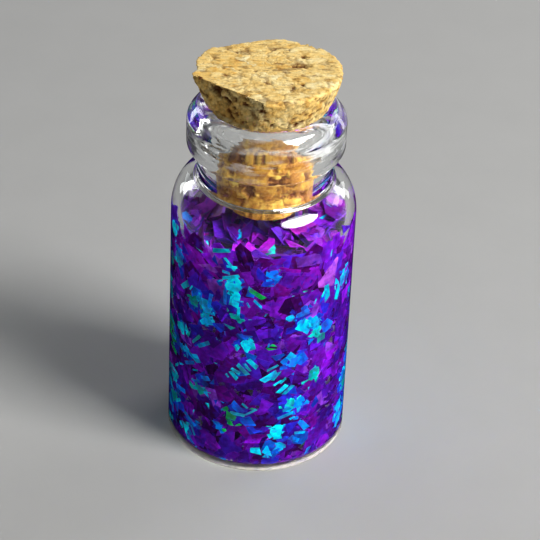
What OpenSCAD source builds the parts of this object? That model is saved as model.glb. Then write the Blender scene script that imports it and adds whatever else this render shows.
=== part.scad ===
// Corked sample vial: a round glass vial, a tapered agglomerated cork, and a fill of loose film flakes.
// Millimetres, +Z up. The origin is the centre of the foot, on the surface that the vial stands on.

/* [Glass vial] */
// Outer diameter of the body
body_d = 22; // [20:0.5:26]
// Height at which the straight body ends and the shoulder starts
body_h = 32; // [31:0.5:34]
// Thickness of the body wall
wall_t = 1.2; // [0.9:0.1:1.4]
// Thickness of the floor at the foot
floor_t = 0.6; // [0.6:0.1:1.2]
// Depth of the hollow under the floor
foot_recess = 0.15; // [0.1:0.05:0.3]
// Diameter of the neck outside
neck_d = 16.2; // [15.5:0.1:16.6]
// Diameter of the bore that the cork goes into
bore_d = 11.3; // [11:0.1:11.6]
// Diameter of the lip
lip_d = 18.7; // [18:0.1:19.4]

/* [Cork] */
// Diameter of the cork at its top
cork_top_d = 17.4; // [16.8:0.1:17.8]
// Height of the middle of the cork's top above the foot
cork_top_h = 50.8; // [50:0.1:52]
// Height of the cork's lower end above the foot
cork_foot_h = 33.4; // [33.2:0.1:34.5]
// Tilt of the top face, which drops towards the back
cork_tilt = 4.3; // [0:0.1:5]

/* [Flakes] */
// Thickness of one flake
flake_t = 0.1; // [0.06:0.02:0.12]
// Longest reach of a small flake from its middle
flake_reach = 1.14; // [0.8:0.02:1.16]
// Flakes that stand against the glass in one course
wall_count = 22; // [16:1:22]
// Large shards in one band
shard_count = 11; // [6:1:12]

/* [Hidden] */
$fn = 96;
COURSES = 12;
BANDS = 4;

body_r = body_d / 2;
inner_r = body_r - wall_t;
neck_r = neck_d / 2;
bore_r = bore_d / 2;
lip_r = lip_d / 2;

// Outside of the glass
heel_r = 0.6;
foot_ring_w = 1.5;
foot_slope_w = 1.6;
shoulder_rise = 4.6;
shoulder_end_r = neck_r - 0.1;
neck_foot_z = body_h + shoulder_rise + 0.6;
lip_under_z = 40.4;
lip_under_round = 1.2;
lip_edge_z = 44.2;
lip_edge_round = 1.3;
lip_bevel = 45;
crest_r = 7.3;
crest_z = 46.6;
crest_round = 0.4;

// Inside of the glass
floor_round = 0.8;
inner_shoulder_reach = [2.6, 3.7];
throat_round = 0.55;
throat_z = 36.4;
mouth_reach = [crest_r - bore_r, 1.6];
mouth_z = crest_z - mouth_reach[1];

// Cork
cork_gap = 0.05;
cork_plug_r = bore_r - cork_gap;
cork_foot_chamfer = [0.35, 0.4];
cork_flare = [[7.0, crest_z + 0.15], [7.35, crest_z + 0.5]];
cork_trim_h = 1.6;
cork_side_lean = 1.1;
flat_cut_bearing = 231.4;
flat_cut_distance = 6.84;
flat_cut_lean = 4;
flat_cut_h = 11;
flat_cut_above = 4;
chip_bearing = 152;
chip_turn = 13;
top_pore_count = 9;
top_pore_reach = [2.1, 7.1];
side_pore_count = 7;
side_pore_seat = [8.3, crest_z + 1.9];
pore_r = [0.35, 0.6];
golden_turn = 137.5;

// Flakes
fill_z = floor_t + 0.55;
course_h = 2.52;
wall_seat_r = inner_r - 0.35;
wall_lean = 6;
shard_seat_r = inner_r - 1.06;
core_rings = [[7.3, 18], [4.8, 12], [2.4, 6], [0, 1]];
core_twist = 0.37;
band_h = COURSES * course_h / BANDS;
band_scatter = 1.8;
shard_reach = 1.75;
crest_count = 15;
crest_seat_r = 8.1;
crest_lean = 20;
crest_seat_z = fill_z + COURSES * course_h + 1.2;

// Points on an arc or ellipse from angle a0 to a1, in the plane of a radius and a height.
function bend(mid, reach, a0, a1, steps = 10) =
  [for (k = [0 : steps])
    let (a = a0 + (a1 - a0) * k / steps)
    [mid[0] + reach[0] * cos(a), mid[1] + reach[1] * sin(a)]];

// One random number between low and high. The same seed always gives the same number.
function pick(low, high, seed) = rands(low, high, 1, seed)[0];

function glass_outside() = concat(
  [[0, foot_recess], [body_r - foot_ring_w - foot_slope_w, foot_recess], [body_r - heel_r - foot_ring_w, 0]],
  bend([body_r - heel_r, heel_r], [heel_r, heel_r], -90, 0, 8),
  bend([shoulder_end_r, body_h], [body_r - shoulder_end_r, shoulder_rise], 0, 84, 14),
  [[neck_r, neck_foot_z], [neck_r, lip_under_z - 0.4]],
  bend([lip_r - lip_under_round, lip_under_z + lip_under_round], [lip_under_round, lip_under_round], -80, 0, 8),
  bend([lip_r - lip_edge_round, lip_edge_z], [lip_edge_round, lip_edge_round], 0, lip_bevel, 6),
  bend([crest_r, crest_z - crest_round], [crest_round, crest_round], lip_bevel, 90, 5)
);

// It starts just past the crest, which is the last point of the outside.
function glass_inside() = concat(
  bend([crest_r, mouth_z], mouth_reach, 96, 180, 13),
  bend([bore_r + throat_round, throat_z], [throat_round, throat_round], 180, 270, 6),
  bend([inner_r - inner_shoulder_reach[0], body_h], inner_shoulder_reach, 84, 0, 14),
  bend([inner_r - floor_round, floor_t + floor_round], [floor_round, floor_round], 0, -90, 8),
  [[0, floor_t]]
);

module glass_vial() {
  color([0.86, 0.93, 0.93, 0.35])
    rotate_extrude()
      polygon(concat(glass_outside(), glass_inside()));
}

// The cork's outline before it is trimmed: a plug in the bore, a flare above the rim and a wide head.
function cork_outline() = concat(
  [[0, cork_foot_h], [cork_plug_r - cork_foot_chamfer[0], cork_foot_h]],
  [[cork_plug_r, cork_foot_h + cork_foot_chamfer[1]]],
  bend([crest_r, mouth_z], mouth_reach + [cork_gap, cork_gap], 180, 110, 8),
  cork_flare,
  [[cork_top_d / 2, cork_top_h + 0.2], [cork_top_d / 2 + 0.4, cork_top_h + cork_trim_h]],
  [[0, cork_top_h + cork_trim_h]]
);

module cork_top_trim() {
  translate([0, 0, cork_top_h])
    rotate([-cork_tilt, -cork_side_lean, 0])
      translate([-15, -15, 0])
        cube([30, 30, 6]);
}

module cork_flat_cut() {
  rotate([0, 0, flat_cut_bearing])
    translate([flat_cut_distance, -10, cork_top_h])
      rotate([0, flat_cut_lean, 0])
        translate([0, 0, flat_cut_above - flat_cut_h])
          cube([8, 20, flat_cut_h]);
}

// Three steps where granules have broken out of the top edge.
module cork_chips() {
  for (k = [0 : 2])
    rotate([0, 0, chip_bearing - chip_turn * k])
      translate([cork_top_d / 2 - 0.75 + 0.2 * k, -1.1, cork_top_h - 0.9 - 0.3 * k])
        rotate([0, 0, 14 - 9 * k])
          cube([3, 2.2, 4]);
}

// Pores in the top and the side.
module cork_pores() {
  for (k = [0 : top_pore_count - 1]) {
    bearing = golden_turn * k;
    spread = top_pore_reach[0] + (top_pore_reach[1] - top_pore_reach[0]) * sqrt(k / top_pore_count);
    rotate([0, 0, bearing])
      translate([spread, 0, cork_top_h - spread * sin(bearing) * tan(cork_tilt) + 0.12])
        sphere(r = pick(pore_r[0], pore_r[1], k), $fn = 24);
  }
  for (k = [0 : side_pore_count - 1])
    rotate([0, 0, 200 + 47 * k])
      translate([side_pore_seat[0], 0, side_pore_seat[1] + 0.8 * (k % 3)])
        sphere(r = pick(pore_r[0], pore_r[1], k + 20), $fn = 24);
}

module cork_stopper() {
  color([0.80, 0.62, 0.40])
    difference() {
      rotate_extrude()
        polygon(cork_outline());
      cork_top_trim();
      cork_flat_cut();
      cork_chips();
      cork_pores();
    }
}

// One irregular flake of film, flat in XY, with four to six corners.
module flake(reach, seed) {
  corners = 4 + floor(pick(0, 2.99, seed));
  spread = rands(0.6, 1, corners, seed + 3000);
  slim = pick(0.5, 1, seed + 6000);
  linear_extrude(height = flake_t, center = true)
    polygon([for (k = [0 : corners - 1])
      let (turn = 360 * k / corners + 50 * (spread[k] - 0.8))
      reach * spread[k] * [cos(turn), slim * sin(turn)]]);
}

// A flake that stands with its face towards the glass.
module standing_flake(bearing, seat_r, height, lean, spin, reach, seed) {
  rotate([0, 0, bearing])
    translate([seat_r, 0, height])
      rotate([0, 90 + lean, 0])
        rotate([0, 0, spin])
          flake(reach, seed);
}

// One course of small flakes against the glass.
module wall_flakes(course) {
  color([0.42, 0.13, 0.80])
    for (i = [0 : wall_count - 1]) {
      seed = 100 * course + i;
      standing_flake(
        bearing = 360 * (i + 0.5 * (course % 2)) / wall_count,
        seat_r = wall_seat_r,
        height = fill_z + course_h * (course - 0.5),
        lean = pick(-wall_lean, wall_lean, seed + 11000),
        spin = pick(0, 360, seed + 12000),
        reach = flake_reach,
        seed = seed
      );
    }
}

// One course of small flakes that lie every way round inside the wall flakes.
module core_flakes(course) {
  color([0.30, 0.08, 0.60])
    for (ring = [0 : len(core_rings) - 1])
      for (i = [0 : core_rings[ring][1] - 1]) {
        seed = 20000 + 1000 * ring + 50 * course + i;
        rotate([0, 0, 360 * (i + core_twist * course) / core_rings[ring][1]])
          translate([core_rings[ring][0], 0, fill_z + course_h * (course - 0.5)])
            rotate([pick(0, 180, seed + 31000), pick(0, 180, seed + 32000), pick(0, 360, seed + 33000)])
              flake(flake_reach, seed);
      }
}

// A band of large shards that stand between the wall flakes and the core.
module large_shards(band) {
  color([0.10, 0.35, 0.90])
    for (i = [0 : shard_count - 1]) {
      seed = 50000 + 100 * band + i;
      standing_flake(
        bearing = 360 * (i + 0.25 * band) / shard_count,
        seat_r = shard_seat_r,
        height = fill_z + band_h * (band - 0.5) + pick(-band_scatter, band_scatter, seed + 11000),
        lean = 0,
        spin = pick(0, 360, seed + 12000),
        reach = shard_reach,
        seed = seed
      );
    }
}

// Shards that stand up out of the top of the fill, round the cork's lower end.
module crest_shards() {
  color([0.55, 0.30, 0.90])
    for (i = [0 : crest_count - 1]) {
      seed = 60000 + i;
      standing_flake(
        bearing = 360 * i / crest_count,
        seat_r = crest_seat_r,
        height = crest_seat_z,
        lean = pick(-crest_lean, crest_lean, seed + 11000),
        spin = pick(0, 360, seed + 12000),
        reach = flake_reach,
        seed = seed
      );
    }
}

glass_vial();
cork_stopper();
for (c = [1 : COURSES]) {
  wall_flakes(c);
  core_flakes(c);
}
for (b = [1 : BANDS])
  large_shards(b);
crest_shards();
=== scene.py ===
"""Looks of the corked sample vial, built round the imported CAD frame.

Every shape is worked out in millimetres in the frame's own axes and scaled to metres when its mesh is made.
"""

import math

import bpy
import numpy as np
from mathutils import Matrix, Vector


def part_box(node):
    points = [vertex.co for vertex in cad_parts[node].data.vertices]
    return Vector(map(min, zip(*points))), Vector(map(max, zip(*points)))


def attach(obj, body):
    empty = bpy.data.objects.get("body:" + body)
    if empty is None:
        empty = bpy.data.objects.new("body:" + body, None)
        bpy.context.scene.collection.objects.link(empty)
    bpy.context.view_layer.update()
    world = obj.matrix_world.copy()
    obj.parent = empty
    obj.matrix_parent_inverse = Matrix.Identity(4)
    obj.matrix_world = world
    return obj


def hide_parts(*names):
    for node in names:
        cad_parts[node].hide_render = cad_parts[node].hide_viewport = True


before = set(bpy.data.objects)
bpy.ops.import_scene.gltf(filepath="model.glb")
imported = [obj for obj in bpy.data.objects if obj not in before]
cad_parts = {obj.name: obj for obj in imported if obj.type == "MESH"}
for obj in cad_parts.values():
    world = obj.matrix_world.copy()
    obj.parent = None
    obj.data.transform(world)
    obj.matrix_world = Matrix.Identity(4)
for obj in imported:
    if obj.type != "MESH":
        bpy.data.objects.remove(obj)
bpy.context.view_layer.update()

MM = 0.001
TAU = 2 * math.pi

# ---- Driving dimensions, in millimetres. Those that the frame holds are read from it. ----
glass_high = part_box("glass_vial")[1]
cork_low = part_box("cork_stopper")[0]

BODY_R = glass_high.x / MM
GLASS_H = glass_high.z / MM
CORK_FOOT_Z = cork_low.z / MM

WALL_T = 1.2
INNER_R = BODY_R - WALL_T
FLOOR_T = 0.6
FOOT_RECESS = 0.15
FOOT_RING_W = 1.5
HEEL_R = 0.6
# The slope from the foot ring up to the hollow: how far in its middle and end are, and the middle's height.
FOOT_SLOPE_MID, FOOT_SLOPE_END = 1.1, 1.6
FOOT_SLOPE_Z = 0.1
FOOT_MIDDLE_R = 3.5
BODY_H = 32.0
NECK_R = 8.1
SHOULDER_END_R = NECK_R - 0.1
SHOULDER_REACH = (BODY_R - SHOULDER_END_R, 4.6)
NECK_FILLET = 0.5
NECK_FILLET_Z = 37.12
NECK_TOP_FILLET = 0.4
LIP_R = 9.35
LIP_UNDER_Z = 40.4
LIP_UNDER_ROUND = 1.2
LIP_EDGE_Z = 44.2
LIP_EDGE_ROUND = 1.3
CREST_R = 7.1
CREST_ROUND = 1.6
BORE_R = 5.65
MOUTH_REACH = (CREST_R - BORE_R, 1.6)
MOUTH_Z = GLASS_H - MOUTH_REACH[1]
FLOOR_ROUND = 0.8
INNER_SHOULDER_REACH = (2.6, 3.7)
THROAT_ROUND = 0.55
THROAT_Z = 36.4

CORK_TOP_R = 8.68
CORK_TOP_Z = 50.8
PLUG_GAP = 0.06
CORK_PLUG_R = BORE_R - PLUG_GAP
CORK_FOOT_LIFT = 0.02
CORK_FOOT_ROUND = 0.35
# The cork's waist just above the glass: radius, and height above the lip.
CORK_WAIST = ((7.0, 0.12), (7.35, 0.5))
CORK_BACK_DROP = math.tan(math.radians(4.3))
CORK_SIDE_DROP = math.tan(math.radians(1.1))
CUT_BEARING = math.radians(231.4)
CUT_DISTANCE = 6.84
CUT_LEAN = math.tan(math.radians(4))

FILL_Z = FLOOR_T + 0.55
COURSES = 12
COURSE_H = 2.52
BANDS = 4
BAND_H = COURSES * COURSE_H / BANDS
FILM_T = 0.045


# ---- Helpers ----
def bend(mid, reach, a0, a1, steps):
    """Points on an arc or ellipse from angle a0 to a1 in degrees, in the plane of a radius and a height."""
    a = np.radians(np.linspace(a0, a1, steps + 1))
    return np.c_[mid[0] + reach[0] * np.cos(a), mid[1] + reach[1] * np.sin(a)]


def smooth_step(low, high, x):
    t = np.clip((x - low) / (high - low), 0, 1)
    return t * t * (3 - 2 * t)


def resample(path, spacing):
    """Points along a polyline, about spacing apart."""
    path = np.asarray(path, float)
    run = np.r_[0, np.cumsum(np.linalg.norm(np.diff(path, axis=0), axis=1))]
    at = np.linspace(0, run[-1], int(run[-1] / spacing) + 2)
    return np.c_[np.interp(at, run, path[:, 0]), np.interp(at, run, path[:, 1])]


class Lattice:
    """Seeded random numbers on a repeating grid, for smooth noise and for granules."""

    SIDE = 48

    def __init__(self, seed):
        self.table = np.random.default_rng(seed).random((self.SIDE,) * 3 + (4,))

    def at(self, i):
        i = i % self.SIDE
        return self.table[i[:, 0], i[:, 1], i[:, 2]]

    def noise(self, p, size):
        """Smooth noise from -1 to 1 whose features are about size across. size may differ along each axis."""
        q = p / np.asarray(size, float)
        low = np.floor(q).astype(int)
        f = q - low
        f = f * f * (3 - 2 * f)
        total = np.zeros(len(p))
        for corner in np.ndindex(2, 2, 2):
            c = np.array(corner)
            weight = np.prod(np.where(c == 1, f, 1 - f), axis=1)
            total += weight * self.at(low + c)[:, 0]
        return 2 * total - 1

    def fractal(self, p, size, octaves=3):
        total, share = np.zeros(len(p)), 1.0
        for k in range(octaves):
            total += share * self.noise(p + 7.3 * k, np.asarray(size, float) / 2**k)
            share *= 0.5
        return total

    def granules(self, p, size):
        """Distance from p to its granule's border, and four random numbers of that granule."""
        size = np.asarray(size, float)
        q = p / size
        home = np.floor(q).astype(int)
        best = np.full((2, len(p)), 1e9)
        seat = np.zeros((2, len(p), 3))
        keys = np.zeros((len(p), 4))
        for step in np.ndindex(3, 3, 3):
            cell = home + np.array(step) - 1
            key = self.at(cell)
            point = cell + 0.15 + 0.7 * key[:, :3]
            far = ((point - q) ** 2).sum(1)
            first = far < best[0]
            second = ~first & (far < best[1])
            best[1] = np.where(first, best[0], np.where(second, far, best[1]))
            seat[1] = np.where(first[:, None], seat[0], np.where(second[:, None], point, seat[1]))
            best[0] = np.where(first, far, best[0])
            seat[0] = np.where(first[:, None], point, seat[0])
            keys = np.where(first[:, None], key, keys)
        apart = np.linalg.norm((seat[1] - seat[0]) * size.mean(), axis=1)
        border = (best[1] - best[0]) * size.mean() ** 2 / (2 * apart + 1e-9)
        return border, keys


def make_piece(name, points, faces, material, colours=None, smooth=True):
    """A mesh object from points in millimetres. colours is one colour for each face corner, in face order."""
    mesh = bpy.data.meshes.new(name)
    mesh.from_pydata((np.asarray(points) * MM).tolist(), [], [list(map(int, f)) for f in faces])
    mesh.polygons.foreach_set("use_smooth", [smooth] * len(mesh.polygons))
    if colours is not None:
        layer = mesh.color_attributes.new("tint", "FLOAT_COLOR", "CORNER")
        rgba = np.c_[np.asarray(colours), np.ones(len(colours))].astype(np.float32)
        layer.data.foreach_set("color", rgba.ravel())
    mesh.materials.append(material)
    mesh.update()
    piece = bpy.data.objects.new(name, mesh)
    bpy.context.scene.collection.objects.link(piece)
    return piece


def turned_faces(rings, steps):
    """Quads between rings of steps points each, and a fan at each end to the two points after the rings."""
    faces = []
    for i in range(rings - 1):
        for k in range(steps):
            n = (k + 1) % steps
            faces.append((i * steps + k, i * steps + n, (i + 1) * steps + n, (i + 1) * steps + k))
    first, last, base = rings * steps, rings * steps + 1, (rings - 1) * steps
    for k in range(steps):
        n = (k + 1) % steps
        faces.append((n, k, first))
        faces.append((base + k, base + n, last))
    return faces


# ---- Materials ----
def srgb(r, g, b):
    """A colour given as 0 to 255 on a screen, as linear numbers."""
    c = np.array([r, g, b]) / 255
    return np.where(c <= 0.04045, c / 12.92, ((c + 0.055) / 1.055) ** 2.4)


class Nodes:
    """Short calls for building one material's node tree."""

    def __init__(self, name):
        self.material = bpy.data.materials.new(name)
        self.material.use_nodes = True
        self.tree = self.material.node_tree
        self.shader = self.tree.nodes["Principled BSDF"]
        self.place = self.add("ShaderNodeTexCoord").outputs["Object"]

    def add(self, kind, **settings):
        node = self.tree.nodes.new(kind)
        for key, value in settings.items():
            setattr(node, key, value)
        return node

    def link(self, source, target):
        self.tree.links.new(source, target)

    def noise(self, size_mm, detail=3.0, stretch=None):
        """Noise with features about size_mm across, from 0 to 1."""
        node = self.add("ShaderNodeTexNoise")
        node.inputs["Scale"].default_value = 1 / (size_mm * MM)
        node.inputs["Detail"].default_value = detail
        if stretch is None:
            self.link(self.place, node.inputs["Vector"])
        else:
            mapping = self.add("ShaderNodeMapping")
            mapping.inputs["Scale"].default_value = stretch
            self.link(self.place, mapping.inputs["Vector"])
            self.link(mapping.outputs[0], node.inputs["Vector"])
        return node.outputs["Fac"]

    def spread(self, source, low, high, to_low, to_high):
        """source from low to high becomes to_low to to_high, clamped."""
        node = self.add("ShaderNodeMapRange")
        for socket, value in zip(("From Min", "From Max", "To Min", "To Max"), (low, high, to_low, to_high)):
            node.inputs[socket].default_value = value
        self.link(source, node.inputs["Value"])
        return node.outputs["Result"]

    def math(self, operation, a, b):
        """a and b put together by one of Blender's math operations. b may be a number or a socket."""
        node = self.add("ShaderNodeMath", operation=operation)
        self.link(a, node.inputs[0])
        if isinstance(b, bpy.types.NodeSocket):
            self.link(b, node.inputs[1])
        else:
            node.inputs[1].default_value = b
        return node.outputs[0]

    def height(self):
        """Height above the foot, in millimetres."""
        axes = self.add("ShaderNodeSeparateXYZ")
        self.link(self.place, axes.inputs[0])
        return self.math("DIVIDE", axes.outputs[2], MM)

    def mix(self, share, a, b, blend="MIX"):
        """Colour a blended with colour b. Each of the three may be a value or a socket."""
        node = self.add("ShaderNodeMix", data_type="RGBA", blend_type=blend)
        for socket, value in ((node.inputs[0], share), (node.inputs[6], a), (node.inputs[7], b)):
            if isinstance(value, bpy.types.NodeSocket):
                self.link(value, socket)
            elif isinstance(value, (int, float)):
                socket.default_value = value
            else:
                socket.default_value = (*value, 1)
        return node.outputs[2]

    def grey(self, source):
        """One number as the three channels of a colour."""
        node = self.add("ShaderNodeCombineColor")
        for socket in node.inputs[:3]:
            self.link(source, socket)
        return node.outputs[0]

    def tint(self):
        return self.add("ShaderNodeAttribute", attribute_name="tint").outputs["Color"]

    def bump(self, height, distance_mm, strength=1.0):
        node = self.add("ShaderNodeBump")
        node.inputs["Distance"].default_value = distance_mm * MM
        node.inputs["Strength"].default_value = strength
        self.link(height, node.inputs["Height"])
        self.link(node.outputs["Normal"], self.shader.inputs["Normal"])

    def set(self, **values):
        for key, value in values.items():
            self.shader.inputs[key.replace("_", " ")].default_value = value


GLASS_TINT = (0.975, 0.99, 0.985)
GLASS_SHADE = (0.93, 0.955, 0.95)
# The cream of the foot ring: wear on the glass, and a painted highlight of the bright line at the heel.
FOOT_RING_WEAR_AND_HIGHLIGHT = srgb(240, 232, 208)
FOOT_RING_WEAR_AND_HIGHLIGHT_Z = (0.28, 0.40)
PORE = srgb(112, 66, 24)
FILM_BLUE = srgb(58, 34, 200)
FILM_DUSK = srgb(58, 0, 92)
FLOOR_GREYS = ((0.41, 0.41, 0.405), (0.44, 0.44, 0.435))


def glass_material():
    """Clear glass with faint waves and the lines of its drawing, pale streaks round the lip that are painted
    reflections, and a foot ring of wear that is also a painted highlight.

    Shadow rays pass straight through, so the lamps reach what is inside.
    """
    m = Nodes("clear_glass")
    m.set(IOR=1.5, Metallic=0.0)
    z = m.height()
    # A pale band round the foot, which is wear and also a painted highlight.
    foot = m.spread(z, *FOOT_RING_WEAR_AND_HIGHLIGHT_Z, 1.0, 0.0)
    foot_wear_and_highlight = m.math("MULTIPLY", foot, m.spread(m.noise(0.8), 0.3, 0.6, 0.6, 1.0))
    lip = m.spread(z, LIP_UNDER_Z - 0.5, LIP_UNDER_Z + 1.5, 0.0, 1.0)

    # Pale streaks run round the lip, most of all where its surface turns away from the eye. They are painted
    # reflections, a white veil over the glass.
    streak_pattern = m.noise(2.2, 6.0, (0.5, 0.5, 2.8))
    turned_away = m.spread(m.add("ShaderNodeLayerWeight").outputs["Facing"], 0.45, 0.85, 0.0, 0.5)
    ends = m.math("MULTIPLY", turned_away, m.spread(streak_pattern, 0.4, 0.6, 0.3, 1.0))
    streaks = m.math("MULTIPLY", lip, m.math("MAXIMUM", m.spread(streak_pattern, 0.54, 0.62, 0.0, 0.26), ends))
    # The veil is painted light: the lip's painted reflections, and the foot ring's wear and painted
    # highlight.
    veil = m.math("MAXIMUM", streaks, m.spread(foot_wear_and_highlight, 0.0, 1.0, 0.0, 0.85))
    m.link(m.spread(veil, 0.0, 1.0, 1.0, 0.0), m.shader.inputs["Transmission Weight"])
    m.link(m.mix(foot_wear_and_highlight, GLASS_TINT, FOOT_RING_WEAR_AND_HIGHLIGHT), m.shader.inputs["Base Color"])

    waves = m.spread(m.noise(6.0), 0.45, 0.75, 0.0, 0.018)
    rough = m.math("MAXIMUM", waves, m.spread(veil, 0.0, 1.0, 0.0, 0.5))
    m.link(rough, m.shader.inputs["Roughness"])
    lines = m.math("MULTIPLY", lip, m.noise(2.6, 2.0, (0.55, 0.55, 2.2)))
    ripples = m.math("MULTIPLY", m.noise(6.0, 1.0, (1, 1, 0.45)), 0.12)
    m.bump(m.math("ADD", lines, ripples), 0.12, 0.8)

    clear = m.add("ShaderNodeBsdfTransparent")
    clear.inputs["Color"].default_value = (*GLASS_SHADE, 1)
    ray = m.add("ShaderNodeLightPath")
    pick = m.add("ShaderNodeMixShader")
    m.link(ray.outputs["Is Shadow Ray"], pick.inputs[0])
    m.link(m.shader.outputs[0], pick.inputs[1])
    m.link(clear.outputs[0], pick.inputs[2])
    output = m.tree.nodes["Material Output"]
    m.link(pick.outputs[0], output.inputs["Surface"])
    return m.material


def cork_material():
    """Granules take their colours from the mesh, and the nodes add the grain inside them."""
    m = Nodes("agglomerated_cork")
    grain = m.noise(0.30, 6.0, (0.45, 1, 1))
    pores = m.noise(0.42, 6.0, (0.6, 1, 1))
    shade = m.spread(grain, 0.32, 0.68, 0.80, 1.14)
    colour = m.mix(1.0, m.tint(), m.grey(shade), "MULTIPLY")
    dark = m.spread(pores, 0.60, 0.70, 0.0, 0.55)
    colour = m.mix(dark, colour, PORE)
    m.link(colour, m.shader.inputs["Base Color"])
    m.link(m.spread(grain, 0.3, 0.7, 0.95, 0.78), m.shader.inputs["Roughness"])
    m.set(Specular_IOR_Level=0.25)
    m.bump(m.noise(0.26, 6.0), 0.09, 1.0)
    return m.material


def flake_material(name, dim, gloss):
    """Iridescent film: the flake's own colours, mottled with blue and dusk, and a sheen of the same colour.

    dim scales its brightness, and the middle's darker copy is painted shade. gloss is its lowest roughness.
    """
    m = Nodes(name)
    mottle = m.noise(0.7, 6.0)
    shade = m.spread(mottle, 0.32, 0.68, 0.60 * dim, 1.36 * dim)
    colour = m.mix(1.0, m.tint(), m.grey(shade), "MULTIPLY")
    bluer = m.spread(m.noise(0.8, 6.0), 0.53, 0.66, 0.0, 0.45)
    colour = m.mix(bluer, colour, FILM_BLUE)
    dusky = m.spread(m.noise(2.4, 5.0), 0.52, 0.66, 0.0, 0.5)
    colour = m.mix(dusky, colour, FILM_DUSK)
    m.link(colour, m.shader.inputs["Base Color"])
    m.link(m.spread(mottle, 0.3, 0.7, gloss, gloss + 0.2), m.shader.inputs["Roughness"])
    m.set(Metallic=0.35, Specular_IOR_Level=0.1)
    m.bump(m.noise(0.5, 3.0), 0.03, 0.6)
    return m.material


def floor_material():
    """A plain pale matt floor, very faintly mottled."""
    m = Nodes("pale_floor")
    m.link(m.mix(m.noise(9.0, 4.0), *FLOOR_GREYS), m.shader.inputs["Base Color"])
    m.link(m.spread(m.noise(4.0), 0.3, 0.7, 0.7, 0.85), m.shader.inputs["Roughness"])
    m.set(Specular_IOR_Level=0.2)
    return m.material


# ---- Glass vial ----
def glass_outside():
    """Half section of the outside, from the middle of the foot up to the crest of the lip."""
    return np.vstack(
        [
            [(0, FOOT_RECESS), (FOOT_MIDDLE_R, FOOT_RECESS)],
            [(BODY_R - FOOT_RING_W - FOOT_SLOPE_END, FOOT_RECESS)],
            [(BODY_R - FOOT_RING_W - FOOT_SLOPE_MID, FOOT_SLOPE_Z), (BODY_R - HEEL_R - FOOT_RING_W, 0)],
            bend((BODY_R - HEEL_R, HEEL_R), (HEEL_R, HEEL_R), -90, 0, 14),
            np.c_[np.full(6, BODY_R), np.linspace(5, BODY_H - 1, 6)],
            bend((SHOULDER_END_R, BODY_H), SHOULDER_REACH, 0, 83, 40),
            bend((NECK_R + NECK_FILLET, NECK_FILLET_Z), (NECK_FILLET,) * 2, 235, 180, 8),
            bend((NECK_R + NECK_TOP_FILLET, LIP_UNDER_Z - 0.35), (NECK_TOP_FILLET,) * 2, 180, 115, 6),
            bend(
                (LIP_R - LIP_UNDER_ROUND, LIP_UNDER_Z + LIP_UNDER_ROUND), (LIP_UNDER_ROUND,) * 2, -80, 0, 16
            ),
            bend((LIP_R - LIP_EDGE_ROUND, LIP_EDGE_Z), (LIP_EDGE_ROUND,) * 2, 0, 28, 12),
            bend((CREST_R, GLASS_H - CREST_ROUND), (CREST_ROUND,) * 2, 36, 90, 20),
        ]
    )


def glass_inside():
    """Half section of the inside, from the crest of the lip down to the middle of the floor."""
    throat_r = BORE_R + THROAT_ROUND
    return np.vstack(
        [
            bend((CREST_R, MOUTH_Z), MOUTH_REACH, 94, 180, 24),
            bend((throat_r, THROAT_Z), (THROAT_ROUND,) * 2, 180, 270, 10),
            bend((INNER_R - INNER_SHOULDER_REACH[0], BODY_H), INNER_SHOULDER_REACH, 84, 0, 30),
            np.c_[np.full(6, INNER_R), np.linspace(BODY_H - 3, 4, 6)],
            bend((INNER_R - FLOOR_ROUND, FLOOR_T + FLOOR_ROUND), (FLOOR_ROUND,) * 2, 0, -90, 12),
            [(5.0, FLOOR_T), (0, FLOOR_T)],
        ]
    )


def inner_radius(z):
    """Radius of the vial's inside at height z, up to the top of its shoulder."""
    low = np.clip((FLOOR_T + FLOOR_ROUND - z) / FLOOR_ROUND, 0, 1)
    high = np.clip((z - BODY_H) / INNER_SHOULDER_REACH[1], 0, 1)
    corner = FLOOR_ROUND * (1 - np.sqrt(1 - low**2))
    shoulder = INNER_SHOULDER_REACH[0] * (1 - np.sqrt(1 - high**2))
    return INNER_R - corner - shoulder


GLASS_STEPS = 224


def lathe(name, outline, steps, material, wobble):
    """A closed piece turned round the Z axis. The outline starts and ends on the axis."""
    outline = np.asarray(outline, float)
    rings = outline[1:-1]
    angle = np.arange(steps) * TAU / steps
    points = []
    for r, z in rings:
        reach = r + wobble(angle, r, z)
        points.append(np.c_[reach * np.cos(angle), reach * np.sin(angle), np.full(steps, z)])
    points = np.vstack([*points, [(0, 0, outline[0][1]), (0, 0, outline[-1][1])]])
    return make_piece(name, points, turned_faces(len(rings), steps), material)


def glass_wobble(angle, r, z):
    """Hand-finished glass: the lip and the neck are a few hundredths of a millimetre out of round."""
    share = smooth_step(BODY_H, LIP_UNDER_Z, z) * smooth_step(6.0, 7.5, r)
    return -0.02 * share * (1 + np.sin(3 * angle + 0.9)) - 0.012 * share * (1 + np.sin(7 * angle + z))


def build_glass():
    outline = np.vstack([glass_outside(), glass_inside()])
    vial = lathe("glass_vial_clear", outline, GLASS_STEPS, glass_material(), glass_wobble)
    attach(vial, "vial")
    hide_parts("glass_vial")
    return vial


# ---- Cork ----
CORK_STEPS = 360
CORK_SPACING = 0.15
NEAR_AXIS = 0.02
GRANULE_SIZE = (2.3, 1.5, 1.5)
CRUMB_SIZE = (0.9, 0.6, 0.6)
CORK_TONES = [
    srgb(*tone)
    for tone in ((255, 238, 182), (248, 218, 144), (236, 192, 104), (208, 146, 62), (158, 94, 30))
]
# The dark of crevices, seams, pits and holes, which is partly painted shade in those hollows, and of
# lenticels.
CORK_DARK = srgb(96, 48, 10)
# How much darker the plug is than the head in red, green and blue: painted shade inside the neck.
PLUG_SHADE = (0.24, 0.10, 0.30)

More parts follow.
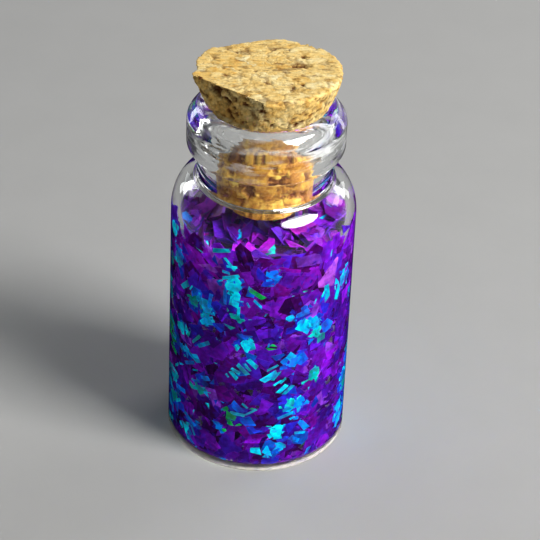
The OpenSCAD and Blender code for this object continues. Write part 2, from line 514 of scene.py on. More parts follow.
# Radius of the head's top edge at bearings in degrees: chips at the back and the left, and a sharp left tip.
HEAD_EDGE = (
    (0, 8.6),
    (44, 8.55),
    (59, 8.45),
    (62, 7.9),
    (67, 8.3),
    (80, 8.25),
    (92, 8.15),
    (107, 7.7),
    (126, 7.9),
    (133, 8.2),
    (141, 8.8),
    (154, 8.95),
    (165, 8.8),
    (177, 8.35),
    (182, 8.4),
    (190, 9.0),
    (197, 8.75),
    (300, 8.65),
)

# The head's shape changes between these heights: above the lip, and below the top.
HEAD_FADE = (0.9, 2.2)
TOP_FADE = (2.6, 0.5)
# Broken steps at the left back: the bearings in radians between which they fade in and out, and their depth.
STEPS_IN, STEPS_OUT = (1.8, 2.2), (3.1, 3.2)
STEP_DEPTH = 0.09
# Radius of the worn top edge, how much more it is where worn most, and the bearing of that place.
WEAR_LEAST, WEAR_MORE = 0.22, 0.55
WEAR_BEARING = -0.9


def cork_outline():
    """Half section of the cork, from the middle of its lower end round to the middle of its top."""
    foot_z = CORK_FOOT_Z + CORK_FOOT_LIFT
    foot_mid = (CORK_PLUG_R - CORK_FOOT_ROUND, foot_z + CORK_FOOT_ROUND)
    throat = (MOUTH_REACH[0] + PLUG_GAP, MOUTH_REACH[1] + PLUG_GAP)
    return np.vstack(
        [
            [(NEAR_AXIS, foot_z), (CORK_PLUG_R - 0.5, foot_z)],
            bend(foot_mid, (CORK_FOOT_ROUND,) * 2, -80, 0, 5),
            bend((CREST_R, MOUTH_Z), throat, 180, 110, 12),
            [(r, GLASS_H + rise) for r, rise in CORK_WAIST],
            [(CORK_TOP_R, CORK_TOP_Z), (NEAR_AXIS, CORK_TOP_Z)],
        ]
    )


def trim_cork(p):
    """Chips the head, wears its top edge, tilts the top and cuts the flat side.

    Returns the points, and which of them lie on the cut.
    """
    bearing = np.arctan2(p[:, 1], p[:, 0])
    r = np.hypot(p[:, 0], p[:, 1])

    # The head's outline is out of round, and stepped where granules broke away at the left back.
    head = smooth_step(GLASS_H + HEAD_FADE[0], GLASS_H + HEAD_FADE[1], p[:, 2])
    near_top = smooth_step(CORK_TOP_Z - TOP_FADE[0], CORK_TOP_Z - TOP_FADE[1], p[:, 2])
    turn = np.mod(bearing, TAU)
    back_left = smooth_step(*STEPS_IN, turn) * (1 - smooth_step(*STEPS_OUT, turn))
    steps = np.abs(np.round(2.2 * np.sin(7.3 * turn) + 0.6 * np.sin(19 * turn)))
    edge = np.interp(np.degrees(turn), *zip(*HEAD_EDGE), period=360) - STEP_DEPTH * back_left * steps
    r = r + (edge - CORK_TOP_R) * (0.35 + 0.65 * near_top) * head * smooth_step(3.0, 7.0, r)

    # The top edge is worn round, most of all at the front and right.
    wear = WEAR_LEAST + WEAR_MORE * smooth_step(-0.2, 0.9, np.cos(bearing - WEAR_BEARING))
    dr, dz = r - (edge - wear), p[:, 2] - (CORK_TOP_Z - wear)
    corner = (dr > 0) & (dz > 0)
    reach = np.hypot(dr, dz)
    pull = np.where(corner & (reach > wear), wear / np.maximum(reach, 1e-9), 1.0)
    r = np.where(corner, edge - wear + dr * pull, r)
    z = np.where(corner, CORK_TOP_Z - wear + dz * pull, p[:, 2])

    # The top slopes down to the back and the left.
    x, y = r * np.cos(bearing), r * np.sin(bearing)
    lift = smooth_step(GLASS_H + 1.0, CORK_TOP_Z, z)
    z = z + lift * (CORK_SIDE_DROP * x - CORK_BACK_DROP * y)

    # What stands past the cut's plane is drawn back onto it.
    nx, ny = math.cos(CUT_BEARING), math.sin(CUT_BEARING)
    beyond = x * nx + y * ny - (CUT_DISTANCE - CUT_LEAN * (CORK_TOP_Z - z))
    beyond = np.where(z > GLASS_H + 0.3, np.maximum(beyond, 0), 0)
    return np.c_[x - beyond * nx, y - beyond * ny, z], beyond > 0


def grid_normals(points, rings, steps):
    """Normals that point outwards from a grid of rings of steps points each."""
    g = points.reshape(rings, steps, 3)
    along = np.gradient(g, axis=0)
    around = np.roll(g, -1, axis=1) - np.roll(g, 1, axis=1)
    n = np.cross(around, along).reshape(-1, 3)
    return n / np.maximum(np.linalg.norm(n, axis=1), 1e-12)[:, None]


def ramp(share, stops):
    """Colours along a list of evenly spaced stops, at share from 0 to 1."""
    at = np.clip(share, 0, 1) * (len(stops) - 1)
    low = np.minimum(at.astype(int), len(stops) - 2)
    part = (at - low)[:, None]
    stops = np.array(stops)
    return stops[low] * (1 - part) + stops[low + 1] * part


def cork_surface(p, normal, cut):
    """How far each point stands off the trimmed shape, and its colour."""
    field, fine = Lattice(11), Lattice(12)
    warp = 0.6 * np.c_[fine.fractal(p, 1.2, 4), fine.fractal(p + 19, 1.2, 4), fine.fractal(p + 37, 1.2, 4)]
    border, key = field.granules(p + warp, GRANULE_SIZE)
    crumb_border, crumb = field.granules(p + 0.5 * warp + 5, CRUMB_SIZE)
    on_top = smooth_step(0.6, 0.9, normal[:, 2])
    in_bore = 1 - smooth_step(GLASS_H - 0.9, GLASS_H + 0.2, p[:, 2])
    side = 1 - on_top

    # Crevices open between some granules and stay shut between others, and crumbs have fallen out of both.
    open_here = smooth_step(-0.05, 0.55, fine.noise(p + 5, 1.7))
    crevice = (1 - smooth_step(0.03, 0.17, border)) * (0.35 + 0.65 * open_here) * (0.55 + 0.35 * side)
    seam = (1 - smooth_step(0.0, 0.12, crumb_border)) * (0.25 + 0.4 * side)
    loss = fine.fractal(p + 29, (1.1, 0.7, 0.7), 3) + 0.35 * side + 0.15 * in_bore
    pit = smooth_step(0.82, 1.15, loss)
    hole = (key[:, 3] > 0.955) * smooth_step(0.08, 0.35, border)
    streak = fine.fractal(p + 1.5 * warp, (1.3, 0.34, 0.34), 3)
    rough = fine.fractal(p + 11, 0.55, 3)

    # Each granule stands a little proud or low. In the bore the cork is squeezed smooth.
    height = 0.07 * (key[:, 1] - 0.6) - 0.20 * crevice - 0.05 * seam - 0.22 * pit - 0.5 * hole
    height += (0.075 * side + 0.02) * rough + 0.02 * streak * on_top
    height += np.where(cut, 0.09 * fine.fractal(p + 3, 0.9, 2), 0)
    squeezed = np.minimum(0.04 * rough - 0.03 - 0.08 * crevice - 0.18 * pit - 0.4 * hole, 0)
    height = height + (squeezed - height) * smooth_step(0.3, 0.9, in_bore)

    # The lightest tone is 0 and the darkest 1.
    tone = 0.33 + 0.34 * (key[:, 2] - 0.5) + 0.12 * (crumb[:, 2] - 0.5)
    tone = tone + 0.14 * rough - 0.04 * streak * on_top
    # In the bore the plug is painted darker: painted shade inside the neck.
    tone = tone + 0.06 * side + 0.44 * in_bore - 0.25 * (key[:, 0] > 0.9) * on_top
    colour = ramp(tone, CORK_TONES) * (1 - np.outer(in_bore, PLUG_SHADE))
    lenticel = smooth_step(0.42, 0.72, fine.fractal(p + 23, (1.2, 0.6, 0.6), 4))
    # Crevices, seams, pits and holes are darkened on top of their depth: partly the cork's own darker colour,
    # partly painted shade in the hollows. Lenticels are the cork's own dark.
    dark = np.clip(0.75 * crevice + 0.30 * seam + 0.85 * pit + 0.9 * hole + 0.5 * lenticel, 0, 1)[:, None]
    return height, colour + (CORK_DARK - colour) * dark


def build_cork():
    outline = resample(cork_outline(), CORK_SPACING)
    rings = len(outline)
    angle = np.arange(CORK_STEPS) * TAU / CORK_STEPS
    p = np.vstack([np.c_[r * np.cos(angle), r * np.sin(angle), np.full(CORK_STEPS, z)] for r, z in outline])
    p, cut = trim_cork(p)
    normal = grid_normals(p, rings, CORK_STEPS)
    height, colour = cork_surface(p, normal, cut)
    axis = np.hypot(p[:, 0], p[:, 1])
    height = height * smooth_step(0.0, 0.5, axis)
    p = p + normal * height[:, None]
    p = np.vstack([p, p[:CORK_STEPS].mean(0), p[-CORK_STEPS:].mean(0)])
    colour = np.vstack([colour, colour[0], colour[-1]])
    faces = turned_faces(rings, CORK_STEPS)
    corners = np.concatenate([np.array(f) for f in faces])
    cork = make_piece("cork_stopper_granular", p, faces, cork_material(), colour[corners])
    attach(cork, "cork")
    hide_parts("cork_stopper")
    return cork


# ---- Flakes ----
VIOLET = [
    srgb(94, 12, 160),
    srgb(112, 12, 172),
    srgb(78, 14, 160),
    srgb(60, 18, 156),
    srgb(94, 4, 126),
    srgb(140, 60, 208),
]
VIOLET_SHARE = (0.26, 0.20, 0.20, 0.18, 0.10, 0.06)
BLUE = [srgb(44, 36, 200), srgb(34, 66, 226), srgb(16, 104, 240)]
# Painted glints: facets that catch the light take these bright blues, cyans, teal and green as their colour.
GLINT = [srgb(0, 136, 252), srgb(0, 190, 255), srgb(0, 226, 255), srgb(0, 184, 168), srgb(10, 206, 84)]
GLINT_SHARE = (0.24, 0.30, 0.29, 0.13, 0.04)
SHADED_FILM = srgb(54, 0, 78)
EDGE = srgb(112, 34, 176)
PINK = srgb(182, 84, 222)
# The most facets that a shard can have.
FACETS = 5
# Corners of a rough strip before they are shaken.
BLUNT = ((0.9, 0.8), (-0.9, 0.8), (-0.9, -0.8), (0.9, -0.8))
# How far folds keep from a shard's ends, as a share of its length.
FOLD_MARGIN = 0.12
# Painted light: a shard's rim is painted brighter than its middle, by these shares.
GLOW_MIDDLE, GLOW_RIM = 0.94, 1.1


def split_polygon(points, polygon, mid, way):
    """Cuts a convex polygon of point numbers along a line. New points are added to points."""
    side = [float(np.dot(points[k] - mid, way)) for k in polygon]
    below, above = [], []
    for i, k in enumerate(polygon):
        nxt = (i + 1) % len(polygon)
        (below if side[i] < 0 else above).append(k)
        if (side[i] < 0) != (side[nxt] < 0):
            share = side[i] / (side[i] - side[nxt])
            points.append(points[k] + share * (points[polygon[nxt]] - points[k]))
            below.append(len(points) - 1)
            above.append(len(points) - 1)
    return below, above


def shard_corners(rng, corners, slim, blunt):
    """Corners of one flat shard of reach 1. A blunt shard is a rough strip."""
    n = int(rng.integers(*corners))
    slim = rng.uniform(*slim)
    if blunt:
        return [np.array([x, slim * y]) + rng.normal(0, 0.5 * slim, 2) * (1, 0.3) for x, y in BLUNT]
    turn = np.sort((np.arange(n) + rng.uniform(-0.42, 0.42, n)) * TAU / n)
    return [np.array([math.cos(t), slim * math.sin(t)]) for t in turn]


def pleat(rng, points, fold_odds, steep):
    """Folds a flat shard along parallel lines, up and down by turns. Returns its points and its facets.

    fold_odds are the odds of 0, 1, 2... folds.
    """
    facets = [list(range(len(points)))]
    fold = rng.uniform(0, TAU)
    way = np.array([math.cos(fold), math.sin(fold)])
    along = np.array(points) @ way
    low, high = along.min(), along.max()
    folds = int(rng.choice(len(fold_odds), p=fold_odds))
    margin = FOLD_MARGIN * (high - low)
    cuts = np.sort(rng.uniform(low + margin, high - margin, folds))
    for at in cuts:
        below, above = split_polygon(points, facets[-1], at * way, way)
        if len(below) > 2 and len(above) > 2:
            facets[-1:] = [below, above]
    flat = np.array(points)
    stops = np.r_[low, cuts, high]
    slopes = np.tan(np.radians(rng.uniform(*steep, folds + 1))) * (-1.0) ** np.arange(folds + 1)
    rise = np.r_[0, np.cumsum(slopes * np.diff(stops))] if folds else np.zeros(2)
    height = np.interp(flat @ way, stops, rise)
    return list(np.c_[flat, height - height.mean()]), facets


def shard_shape(rng, corners, slim, fold_odds, steep, blunt=False):
    """One pleated shard of film of reach 1.

    Returns its points, its triangles, the facet of each triangle, its outline in order and how much each
    point shines.
    """
    solid, facets = pleat(rng, shard_corners(rng, corners, slim, blunt), fold_odds, steep)
    sides = [(k, facet[(i + 1) % len(facet)]) for facet in facets for i, k in enumerate(facet)]
    follow = {a: b for a, b in sides if (b, a) not in sides}
    triangles, owner = [], []
    for number, facet in enumerate(facets):
        solid.append(np.mean([solid[k] for k in facet], axis=0) + [0, 0, rng.uniform(-0.04, 0.04)])
        hub = len(solid) - 1
        for i, k in enumerate(facet):
            triangles.append((hub, k, facet[(i + 1) % len(facet)]))
            owner.append(number)
    halves = {}

    def half(a, b):
        key = (min(a, b), max(a, b))
        if key not in halves:
            solid.append((solid[a] + solid[b]) / 2)
            halves[key] = len(solid) - 1
        return halves[key]

    fine = []
    for a, b, c in triangles:
        ab, bc, ca = half(a, b), half(b, c), half(c, a)
        fine += [(a, ab, ca), (ab, b, bc), (ca, bc, c), (ab, bc, ca)]
    loop = [next(iter(follow))]
    while len(loop) < len(follow):
        loop.append(follow[loop[-1]])
    outline = []
    for a in loop:
        outline += [a, half(a, follow[a])]
    solid = np.array(solid)
    glow = np.full(len(solid), GLOW_MIDDLE)
    glow[outline] = GLOW_RIM
    return solid, np.array(fine), np.repeat(owner, 4), np.array(outline), glow


def shard_family(count, seed, *kind):
    """Shards of one kind, each from a seed of its own. kind is what shard_shape takes after its rng."""
    return [shard_shape(np.random.default_rng(seed + k), *kind) for k in range(count)]


class Fill:
    """Collects the flakes of one piece."""

    crumpled = shard_family(48, 500, (3, 7), (0.45, 1.0), (0.25, 0.3, 0.2, 0.15, 0.1), (12, 45))
    sheets = shard_family(48, 700, (3, 7), (0.5, 1.0), (0.25, 0.4, 0.25, 0.1), (3, 12))
    slivers = shard_family(24, 900, (4, 5), (0.2, 0.42), (0.7, 0.3), (2, 6), True)
    zones = Lattice(21)

    def __init__(self, seed):
        self.rng = np.random.default_rng(seed)
        self.points, self.faces, self.colours, self.count = [], [], [], 0

    def violets(self, bright=1.0):
        """Violets for the facets of one flake. A few flakes are turned from the light and painted nearly
        black, as painted shade.
        """
        rng = self.rng
        base = VIOLET[rng.choice(len(VIOLET), p=VIOLET_SHARE)] * rng.uniform(0.55, 1.3)
        if rng.random() < 0.15:
            base = SHADED_FILM * rng.uniform(0.6, 1.3)
        return np.outer(rng.uniform(0.55, 1.4, FACETS) * bright, base)

    def mixed(self, glint, bright=1.0):
        """Violets in which every other facet may catch the light blue, cyan or green."""
        rng = self.rng
        colours = self.violets(bright)
        if rng.random() < glint:
            lit = GLINT[rng.choice(len(GLINT), p=GLINT_SHARE)]
            colours[int(rng.integers(0, 2)) :: 2] = lit * rng.uniform(0.5, 1.0) * bright
        return colours

    def add(self, shapes, place, turn, reach, colours, press=0.06):
        """One flake. What would stand past the glass is laid on it, pressed in so far that no air shows."""
        rng = self.rng
        points, faces, owner, loop, glow = shapes[rng.integers(len(shapes))]
        # Painted shading: each flake is painted lighter towards one side and darker towards the other.
        slope = np.array([rng.normal(0, 0.22), rng.normal(0, 0.22), 0])
        glow = glow * np.clip(1 + points @ slope, 0.5, 1.5)
        p = reach * points @ np.asarray(turn).T + place
        p[:, 2] = np.maximum(p[:, 2], FLOOR_T - press)
        r = np.hypot(p[:, 0], p[:, 1])
        p[:, :2] *= np.minimum(1, (inner_radius(p[:, 2]) + press) / np.maximum(r, 1e-9))[:, None]
        flat = np.cross(p[faces[:, 1]] - p[faces[:, 0]], p[faces[:, 2]] - p[faces[:, 0]])
        normal = np.zeros_like(p)
        for c in range(3):
            np.add.at(normal, faces[:, c], flat)
        normal /= np.maximum(np.linalg.norm(normal, axis=1), 1e-12)[:, None]
        n, half = len(p), normal * FILM_T / 2
        after = np.roll(loop, -1)
        sides = np.vstack([np.c_[loop + n, after, loop], np.c_[loop + n, after + n, after]])
        self.points += [p + half, p - half]
        self.faces += [faces + self.count, faces[:, ::-1] + n + self.count, sides[:, ::-1] + self.count]
        facet = colours[owner]
        up = facet[:, None, :] * glow[faces][:, :, None]
        down = facet[:, None, :] * glow[faces[:, ::-1]][:, :, None]
        rim = np.tile(0.4 * EDGE + 0.6 * colours[0], (len(sides) * 3, 1))
        self.colours += [up.reshape(-1, 3), down.reshape(-1, 3), rim]
        self.count += 2 * n

    def lay(self, shapes, bearing, z, turn, reach, colours, press):
        """One flake on the glass, pressed into it by press."""
        self.add(shapes, polar(INNER_R + press, bearing, z), turn, reach, colours, press)

    def piece(self, name, node, slot, material):
        made = make_piece(
            name, np.vstack(self.points), np.vstack(self.faces), material, np.vstack(self.colours), False
        )
        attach(made, "vial")
        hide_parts(node)


def facing_out(rng, bearing, tilt):
    """Turns a flake's face outwards along bearing, tilted by about tilt degrees and spun in its own plane."""
    lean, swing = np.radians(rng.normal(0, tilt, 2))
    turn = Matrix.Rotation(bearing, 3, "Z") @ Matrix.Rotation(swing, 3, "Z")
    return turn @ Matrix.Rotation(math.pi / 2 + lean, 3, "Y") @ Matrix.Rotation(rng.uniform(0, TAU), 3, "Z")


def lying(rng, tilt):
    """Lays a flake flat, tilted by about tilt degrees and spun in its own plane."""
    lean, swing = np.radians(rng.normal(0, tilt, 2))
    turn = Matrix.Rotation(lean, 3, "X") @ Matrix.Rotation(swing, 3, "Y")
    return turn @ Matrix.Rotation(rng.uniform(0, TAU), 3, "Z")


def any_turn(rng):
    """Turns a flake any way at all, from a random quaternion."""
    q = rng.normal(size=4)
    x, y, z, w = q / np.linalg.norm(q)
    return np.array(
        [
            [1 - 2 * (y * y + z * z), 2 * (x * y - z * w), 2 * (x * z + y * w)],
            [2 * (x * y + z * w), 1 - 2 * (x * x + z * z), 2 * (y * z - x * w)],
            [2 * (x * z - y * w), 2 * (y * z + x * w), 1 - 2 * (x * x + y * y)],
        ]
    )


def polar(r, bearing, z):
    """A point from its radius, bearing and height."""
    return np.array([r * math.cos(bearing), r * math.sin(bearing), z])


# Layers of loose flakes behind the glass in one course: count, how far in, tilt in degrees, reach, glint.
LOOSE_LAYERS = (
    (40, (0.10, 0.35), 12, (0.8, 1.9), 0.35),
    (26, (0.45, 0.95), 24, (0.9, 2.0), 0.35),
)

# Counts for each course.
SHADE_BACKING = 44
SHEETS = 84
CLUSTERS = 21
CRUMBS = 40
CORE_FLAKES = 60

# Counts for the whole fill, save that LARGE_SHARDS is for each band.
FLOOR_FLAKES = 200
CORNER_SHEETS = 90
RIM_SHEETS = 34
LARGE_SHARDS = 16
TOP_SHARDS = 170

# Sheets grow broader, and rosier with painted light, between these heights, by these shares of their reach
# and colour.
BROAD_Z = (21.0, 29.0)
BROADER = 0.35
TOP_PAINTED_LIGHT = np.array([0.25, 0.35, -0.02])

# How far flakes are pressed into the glass. Of two that cross, the one pressed in further is in front.
SHADE_BACKING_PRESS = 0.012
PATCH_PRESS = 0.125
PINK_PRESS = 0.14
KNOT_PRESS = 0.165

CORE_R = 9.0
LARGE_SCATTER_Z = 3.6
LARGE_TOP_Z = 30.5
# The one broad pink shard, at the front right: bearing in degrees, height, spin and reach.
PINK_BEARING, PINK_Z, PINK_SPIN, PINK_REACH = -42, 28.0, 0.4, 2.9

# The uneven top of the fill: its reach, its height, its rise out to the right and its ceiling. Within
# UNDER_CORK_R the cork's lower end is the ceiling instead.
TOP_R = 9.9
TOP_Z = 31.0
TOP_RISE = 0.8
TOP_CEILING_Z = 33.6
UNDER_CORK_R = 8.0
# Painted light: the top's shards are tinted lighter and rosier, as if lit through the shoulder.
TOP_PAINTED_TINT = np.array([1.5, 0.9, 0.9])

# Clusters at the front: bearing in degrees, height, colour as its place in GLINT, and whether it is a row.
FRONT_CLUSTERS = (
    (-155, 28, 0, False),
    (-113, 29.5, 2, True),
    (-97, 26, 1, True),
    (-24, 25, 1, False),
    (-41, 24.5, 2, True),
    (-106, 23, 3, False),
    (-138, 22.5, 3, False),
    (-60, 21.5, 1, False),
    (-98, 19, 2, False),
    (-101, 15, 2, True),
    (-74, 14, 2, True),
    (-49, 13.5, 3, False),
    (-131, 10.5, 3, False),
    (-10, 9, 1, True),
    (-97, 9, 2, True),
    (-65, 8.5, 1, True),
    (-107, 8, 4, False),
    (-75, 6, 2, False),
    (-18, 5, 1, False),
    (-79, 3, 1, False),
)


def seats(rng, count, jitter, start=0):
    """Bearings of count seats round the vial, each up to jitter of a step off its place."""
    for i in range(count):
        yield TAU * (i + start + rng.uniform(-jitter, jitter)) / count


def facing(bearing, spin):
    """Turns a flake's face straight out along bearing. At spin 0 its long way stands upright."""
    turn = Matrix.Rotation(bearing, 3, "Z") @ Matrix.Rotation(math.pi / 2, 3, "Y")
    return turn @ Matrix.Rotation(spin, 3, "Z")


def add_loose(fill, low):
    """Crumpled flakes that stand in layers behind the glass."""
    rng = fill.rng
    for count, inset, tilt, reach, glint in LOOSE_LAYERS:
        for bearing in seats(rng, count, 0.7):
            place = polar(INNER_R - rng.uniform(*inset), bearing, low + COURSE_H * rng.uniform(-0.1, 1.1))
            turn = facing_out(rng, bearing, tilt)
            fill.add(fill.crumpled, place, turn, rng.uniform(*reach), fill.mixed(glint))


def add_sheets(fill, course, low):
    """Shards that lie flat on the glass, each over others, broader and, with painted light, rosier towards
    the top.
    """
    rng = fill.rng
    for bearing in seats(rng, SHEETS, 0.7):
        z = min(low + COURSE_H * rng.uniform(-0.1, 1.1) * (1.25 if course == COURSES else 1), BODY_H)
        high = smooth_step(*BROAD_Z, z)
        press = rng.uniform(0.02, 0.12)
        colours = fill.violets() * (1 + high * TOP_PAINTED_LIGHT)
        reach = rng.uniform(1.0, 2.1) * (1 + BROADER * high)
        turn = facing_out(rng, bearing, 1.5)
        fill.lay(fill.sheets, bearing, z, turn, reach, colours, press)


def add_shade_backing(fill, low):
    """Dark film just against the glass, which closes the gaps between the brighter shards: painted shade for
    the shadow in those gaps.
    """
    rng = fill.rng
    for bearing in seats(rng, SHADE_BACKING, 0.5):
        z = min(max(low + COURSE_H * rng.uniform(0, 1), FLOOR_T + 0.5), BODY_H - 1.6)
        turn = facing_out(rng, bearing, 1)
        fill.lay(fill.sheets, bearing, z, turn, rng.uniform(1.5, 2.3), fill.violets(0.5), SHADE_BACKING_PRESS)


def add_rim(fill, heights, count, reach, bright):
    """A ring of shards on the glass, at the bottom corner or at the top of the fill."""
    rng = fill.rng
    for bearing in seats(rng, count, 0.6):
        press = rng.uniform(0.03, 0.1)
        z = rng.uniform(*heights)
        turn = facing_out(rng, bearing, 1.5)
        fill.lay(fill.sheets, bearing, z, turn, rng.uniform(*reach), fill.violets(bright), press)


def add_cluster(fill, bearing, z, lit, in_row, purity=0.7):
    """Crumpled film that catches the light: blue patches under a row of strips or under a knot of bits.

    lit is the colour of most of its bits, as a place in GLINT, and purity is their share. A knot has a broad
    bit on top.
    """
    rng = fill.rng
    spin, pitch = rng.uniform(0, math.pi), rng.uniform(0.45, 0.85)
    for _ in range(int(rng.integers(2, 5))):
        side, up = rng.normal(0, 0.9, 2)
        seat = bearing + side / INNER_R
        colours = np.outer(rng.uniform(0.45, 1.1, FACETS), BLUE[rng.integers(len(BLUE))])
        turn = facing_out(rng, seat, 1)
        fill.lay(fill.sheets, seat, z + up, turn, rng.uniform(0.5, 1.3), colours, PATCH_PRESS)
    count = int(rng.integers(3, 8)) if in_row else int(rng.integers(5, 11))
    for k in range(count):
        if in_row:
            across, along = pitch * (k - (count - 1) / 2) + rng.normal(0, 0.2), rng.normal(0, 0.6)
            side = across * math.cos(spin) + along * math.sin(spin)
            up = across * math.sin(spin) - along * math.cos(spin)
        else:
            side, up = rng.normal(0, 0.65, 2)
        kind = lit if rng.random() < purity else int(rng.choice(len(GLINT), p=GLINT_SHARE))
        colours = np.outer(rng.uniform(0.5, 1.3, FACETS), GLINT[kind])
        press = rng.uniform(0.13, 0.16)
        seat = bearing + side / INNER_R
        if in_row:
            turn = facing(seat, spin + rng.normal(0, 0.3))
            fill.lay(fill.slivers, seat, z + up, turn, rng.uniform(0.3, 1.25), colours, press)
        else:
            turn = facing_out(rng, seat, 1)
            reach = rng.uniform(0.2, 0.5) * rng.choice((1.0, 1.8))
            fill.lay(fill.sheets, seat, z + up, turn, reach, colours, press)
    if not in_row:
        colours = np.outer(rng.uniform(0.8, 1.25, FACETS), GLINT[lit])
        turn = facing_out(rng, bearing, 1)
        fill.lay(fill.sheets, bearing, z, turn, rng.uniform(0.8, 1.2), colours, KNOT_PRESS)


def add_clusters(fill, course, low):
    """Clusters scattered all round, but few at the front, where FRONT_CLUSTERS lists them one by one."""
    rng = fill.rng
    for bearing in seats(rng, CLUSTERS, 0.5):
        z = low + COURSE_H * rng.uniform(0, 1)
        lit, in_row = int(rng.choice(len(GLINT), p=GLINT_SHARE)), rng.random() < 0.4
        thin_out = math.sin(bearing) < -0.3 and rng.random() < 0.65
        if not thin_out and fill.zones.noise(polar(INNER_R, bearing, z)[None, :], 4.5)[0] > -0.2:
            add_cluster(fill, bearing, z, lit, in_row)
    for bearing, z, lit, in_row in FRONT_CLUSTERS:
        if int((z - FILL_Z) / COURSE_H) + 1 == course:
            add_cluster(fill, math.radians(bearing), z, lit, in_row, 0.85)


def add_crumbs(fill, low):
    """Small crumpled bits that lie on the glass, in front of most sheets."""
    rng = fill.rng
    for _ in range(CRUMBS):
        bearing, z = rng.uniform(0, TAU), low + COURSE_H * rng.random()
        press = rng.uniform(0.10, 0.15)
        turn = facing_out(rng, bearing, 3)
        colours = fill.mixed(0.5, 1.15)
        fill.add(fill.crumpled, polar(INNER_R, bearing, z), turn, rng.uniform(0.2, 0.6), colours, press)


def build_wall_flakes(course, material):
    fill = Fill(1000 + course)
    rng = fill.rng
    low = FILL_Z + COURSE_H * (course - 1) - 0.3
    add_shade_backing(fill, low)
    add_loose(fill, low)
    add_sheets(fill, course, low)
    add_clusters(fill, course, low)
    add_crumbs(fill, low)
    if course == 1:
        for _ in range(FLOOR_FLAKES):
            place = polar(INNER_R * math.sqrt(rng.uniform(0.1, 1)), rng.uniform(0, TAU), FLOOR_T)
            fill.add(fill.sheets, place, lying(rng, 3), rng.uniform(0.9, 1.9), fill.mixed(0.12))
        # The bottom corner's ring is painted darker: painted shade in the corner.
        add_rim(fill, (FLOOR_T + 0.1, FLOOR_T + 0.7), CORNER_SHEETS, (0.8, 1.4), 0.8)
    if course == COURSES:
        # The top ring is painted lighter: painted light at the top of the fill.
        add_rim(fill, (BODY_H - 1.6, BODY_H - 0.3), RIM_SHEETS, (0.9, 1.9), 1.2)
    fill.piece(f"film_wall_{course}", f"wall_flakes_{course}", "wall_flakes", material)


def build_core_flakes(course, material):
    fill = Fill(2000 + course)
    rng = fill.rng
    for _ in range(CORE_FLAKES):
        z = FILL_Z + COURSE_H * (course - 1 + rng.uniform(0, 1))
        place = polar(CORE_R * math.sqrt(rng.random()), rng.uniform(0, TAU), z)
        # The middle's flakes are painted darker: painted shade deep in the fill.
        fill.add(fill.crumpled, place, any_turn(rng), rng.uniform(1.2, 2.2), fill.mixed(0.15, 0.75))
    fill.piece(f"film_core_{course}", f"core_flakes_{course}", "core_flakes", material)


def build_large_shards(band, material):
    fill = Fill(3000 + band)
    rng = fill.rng
    for bearing in seats(rng, LARGE_SHARDS, 0.3, 0.3 * band):
        z = FILL_Z + BAND_H * (band - 0.5) + rng.uniform(-LARGE_SCATTER_Z, LARGE_SCATTER_Z)
        press = rng.uniform(0.08, 0.125)
        turn = facing_out(rng, bearing, 2)
        reach = rng.uniform(1.7, 2.6)
        fill.lay(fill.sheets, bearing, min(z, LARGE_TOP_Z), turn, reach, fill.violets(1.1), press)
    if band == BANDS:
        bearing = math.radians(PINK_BEARING)
        turn = facing(bearing, PINK_SPIN)
        colours = np.outer(rng.uniform(0.9, 1.1, FACETS), PINK)
        fill.lay(fill.sheets, bearing, PINK_Z, turn, PINK_REACH, colours, PINK_PRESS)
    fill.piece(f"film_large_{band}", f"large_shards_{band}", "large_shards", material)


def build_crest_shards(material):
    """The uneven top of the fill: broad shards that lie and stand, highest on the right."""
    fill = Fill(4000)
    rng = fill.rng
    for i in range(TOP_SHARDS):
        bearing = rng.uniform(0, TAU)
        r = TOP_R * math.sqrt(rng.uniform(0.05, 1))
        z = TOP_Z + TOP_RISE * math.cos(bearing + 0.2) * r / TOP_R + rng.uniform(-0.9, 0.5)
        turn = lying(rng, 17) if i % 6 else any_turn(rng)
        reach = rng.uniform(1.2, 2.6)
        top = CORK_FOOT_Z - 0.3 - 0.6 * reach if r < UNDER_CORK_R else TOP_CEILING_Z - 0.5 * reach
        # Painted light: the top of the fill is tinted rosier.
        colours = fill.mixed(0.06) * TOP_PAINTED_TINT
        fill.add(fill.sheets, polar(r, bearing, min(z, top)), turn, reach, colours)
    fill.piece("film_crest", "crest_shards", "large_shards", material)


def build_fill():
    wall = flake_material("violet_film", 1.1, 0.30)
    # A darker copy for the middle of the fill: painted shade.
    core = flake_material("violet_film_shaded", 0.8, 0.34)
    large = flake_material("violet_film_broad", 1.1, 0.26)
    for course in range(1, COURSES + 1):
        build_wall_flakes(course, wall)
        build_core_flakes(course, core)
    for band in range(1, BANDS + 1):
        build_large_shards(band, large)
    build_crest_shards(large)


# ---- Stage, lights and camera ----
FLOOR_REACH = 3000.0
FLOOR_Z = -0.02
LIGHT_AWAY = 520
PANEL_AWAY = 480
KEY_WAY = (0.58, -0.31, 0.755)
WARM = (1.0, 0.985, 0.96)
COOL = (0.95, 0.98, 1.0)
SKY = (0.80, 0.83, 0.86)
SKY_STRENGTH = 0.16


def build_floor():
    """A plain floor a hair below the foot, which the glass doesn't mirror."""
    corners = [(x * FLOOR_REACH, y * FLOOR_REACH, FLOOR_Z) for x, y in ((-1, -1), (1, -1), (1, 1), (-1, 1))]
    floor = make_piece("floor", corners, [(0, 1, 2, 3)], floor_material())
    floor.visible_glossy = False


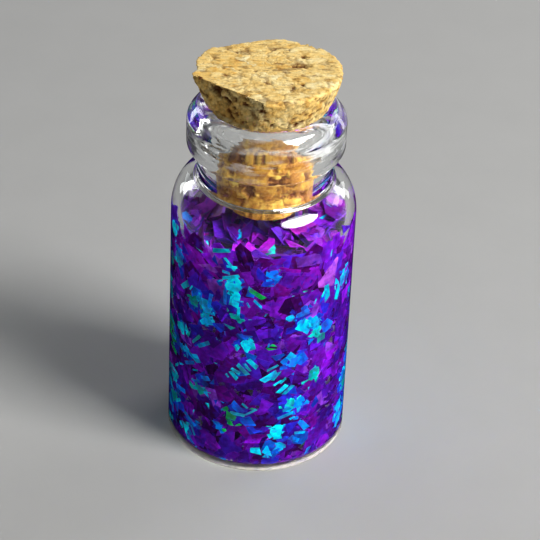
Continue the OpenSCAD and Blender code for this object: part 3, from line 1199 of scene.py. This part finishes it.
def area_light(name, toward, distance, size, power, colour=(1, 1, 1), only=None, shape="RECTANGLE"):
    """A soft panel that faces the middle of the vial. toward is the direction from the vial to the panel.

    If only is given, the panel lights that piece alone.
    """
    data = bpy.data.lights.new(name, "AREA")
    data.shape = shape
    data.size, data.size_y = size[0] * MM, size[1] * MM
    data.energy = power
    data.color = colour
    light = bpy.data.objects.new(name, data)
    middle = Vector((0, 0, GLASS_H / 2)) * MM
    way = Vector(toward).normalized()
    light.location = middle + way * distance * MM
    light.rotation_euler = way.to_track_quat("Z", "Y").to_euler()
    light.visible_camera = False
    bpy.context.scene.collection.objects.link(light)
    if only is not None:
        group = bpy.data.collections.new(f"lit_by_{name}")
        group.objects.link(only)
        light.light_linking.receiver_collection = group
    return light


def reflection_card(name, toward, size, power, glass, shape="RECTANGLE"):
    """A panel that shows in the glass's reflections and lights nothing."""
    card = area_light(name, toward, LIGHT_AWAY, size, power, only=glass, shape=shape)
    card.visible_diffuse = False


def build_lights(glass, cork):
    area_light("key", KEY_WAY, LIGHT_AWAY, (170, 170), 2.85, WARM)
    area_light("cork_fill", (0.80, -0.60, 0.02), LIGHT_AWAY, (240, 200), 1.7, WARM, only=cork)
    area_light("left_panel", (-0.62, 0.60, 0.36), PANEL_AWAY, (260, 200), 0.3, COOL)
    area_light("right_panel", (0.68, 0.58, 0.36), PANEL_AWAY, (260, 200), 0.65)
    reflection_card("key_card", KEY_WAY, (390, 300), 8.0, glass, "ELLIPSE")
    reflection_card("left_card", (-0.70, 0.66, 0.24), (90, 330), 0.5, glass)
    reflection_card("right_card", (0.70, 0.68, 0.20), (70, 330), 0.28, glass)
    world = bpy.data.worlds.new("studio")
    world.use_nodes = True
    sky = world.node_tree.nodes["Background"]
    sky.inputs["Color"].default_value = (*SKY, 1)
    sky.inputs["Strength"].default_value = SKY_STRENGTH
    bpy.context.scene.world = world
    world.cycles_visibility.glossy = False
    bpy.context.scene.view_settings.view_transform = "Standard"


CAMERA_SEAT = Vector((0.0, -227.8, 184.7)) * MM
CAMERA_DOWN = math.radians(35.4)
CAMERA_YAW = math.radians(0.27)
CAMERA_ROLL = math.radians(2.45)
CAMERA_LENS = 154.0
CAMERA_SENSOR = 36.0
CAMERA_CLIP = (0.01, 20.0)


def build_camera():
    level = math.cos(CAMERA_DOWN)
    forward = Vector((math.sin(CAMERA_YAW) * level, math.cos(CAMERA_YAW) * level, -math.sin(CAMERA_DOWN)))
    right = Vector((math.cos(CAMERA_YAW), -math.sin(CAMERA_YAW), 0))
    up = right.cross(forward)
    right, up = (
        math.cos(CAMERA_ROLL) * right + math.sin(CAMERA_ROLL) * up,
        math.cos(CAMERA_ROLL) * up - math.sin(CAMERA_ROLL) * right,
    )
    data = bpy.data.cameras.new("camera")
    data.lens = CAMERA_LENS
    data.sensor_width = CAMERA_SENSOR
    data.clip_start, data.clip_end = CAMERA_CLIP
    camera = bpy.data.objects.new("camera", data)
    turn = Matrix((right, up, -forward)).transposed().to_4x4()
    camera.matrix_world = Matrix.Translation(CAMERA_SEAT) @ turn
    bpy.context.scene.collection.objects.link(camera)
    bpy.context.scene.camera = camera


build_camera()
glass = build_glass()
cork = build_cork()
build_fill()
build_floor()
build_lights(glass, cork)
